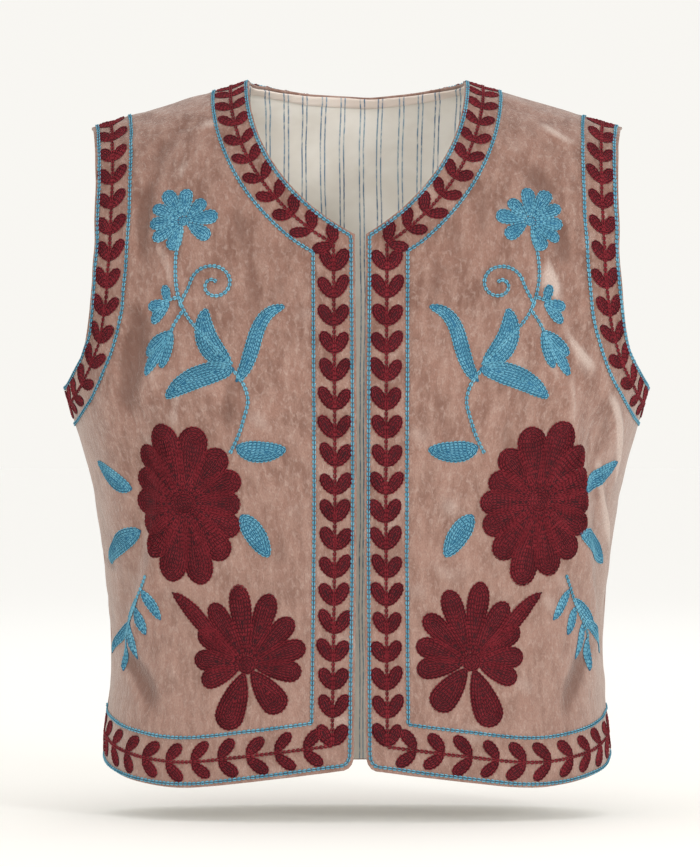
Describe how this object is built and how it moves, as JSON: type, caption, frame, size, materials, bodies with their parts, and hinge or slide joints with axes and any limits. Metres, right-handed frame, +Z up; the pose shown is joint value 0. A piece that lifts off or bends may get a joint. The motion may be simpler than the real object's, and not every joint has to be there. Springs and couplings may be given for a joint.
{
  "type": "embroidered waistcoat",
  "caption": "Sleeveless, collarless velvet waistcoat with a low rounded V neck, open down the front, lined in striped cotton and filled out as it is worn",
  "frame": {"origin": "midway between the two shoulder seams and level with their middles, where the wearer's shoulders carry the garment", "axes": "+Z is up, the front of the garment faces -Y, and +X is the wearer's left"},
  "size_m": [0.4286, 0.2444, 0.5134],
  "materials": {
    "velvet": "crushed cotton velvet with chain-stitch embroidery",
    "striped_cotton": "plain weave, with fine double stripes",
    "neck_facing": "plain weave, with fine double stripes",
    "red_thread": "six-strand embroidery cotton in chain stitch",
    "blue_thread": "six-strand embroidery cotton in chain stitch"
  },
  "bodies": {
    "root": {"left_front": "velvet", "right_front": "velvet", "back": "velvet", "left_front_lining": "striped_cotton", "right_front_lining": "striped_cotton", "back_lining": "striped_cotton", "back_neck_facing": "neck_facing"}
  },
  "joints": []
}
